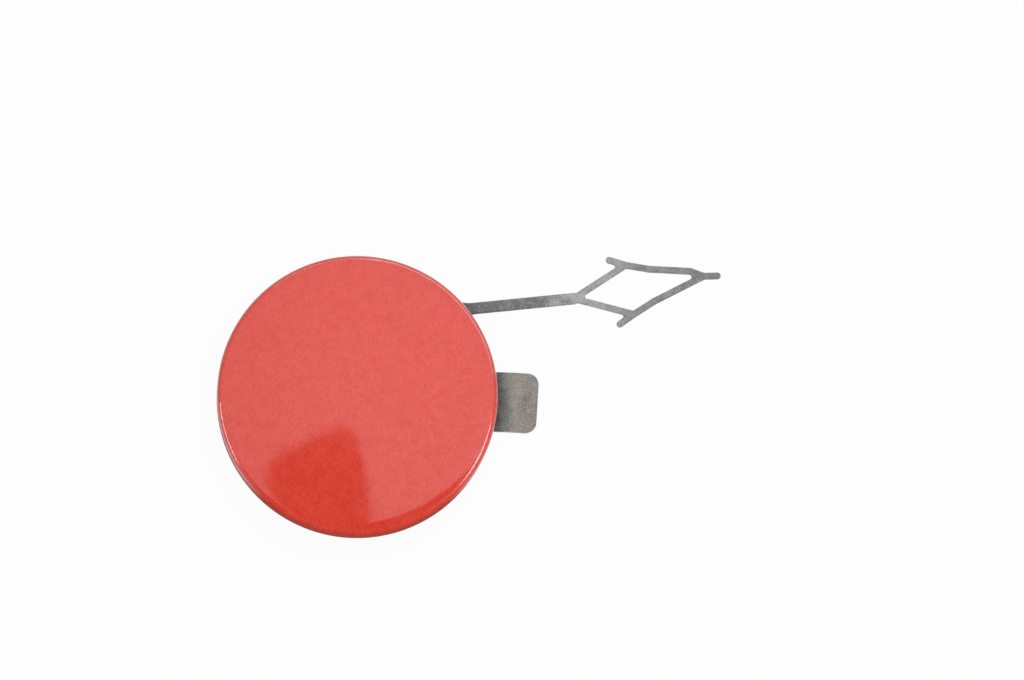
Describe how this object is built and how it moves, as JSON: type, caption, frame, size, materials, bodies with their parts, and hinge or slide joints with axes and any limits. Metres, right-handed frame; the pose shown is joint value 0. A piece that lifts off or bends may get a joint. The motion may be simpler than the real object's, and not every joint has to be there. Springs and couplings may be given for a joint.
{
  "type": "tow eye cover",
  "caption": "Round domed bumper cap with a locating ring, snap arms, a hooking tongue and a moulded tether that ends in an open diamond anchor.",
  "frame": {"origin": "on the axis of the locating ring, in the plane of its lower edge, which is also the plane the cover lies on when its face is up", "axes": "+Z out of the painted face, +X along the hooking tongue, +Y towards the side the tether leaves from"},
  "size_m": [0.1245, 0.0749, 0.0182],
  "materials": {
    "painted_plastic": "red lacquer on the face and rim, bare mottled grey moulded plastic elsewhere"
  },
  "bodies": {
    "root": {"tow_eye_cover": "painted_plastic"}
  },
  "joints": []
}
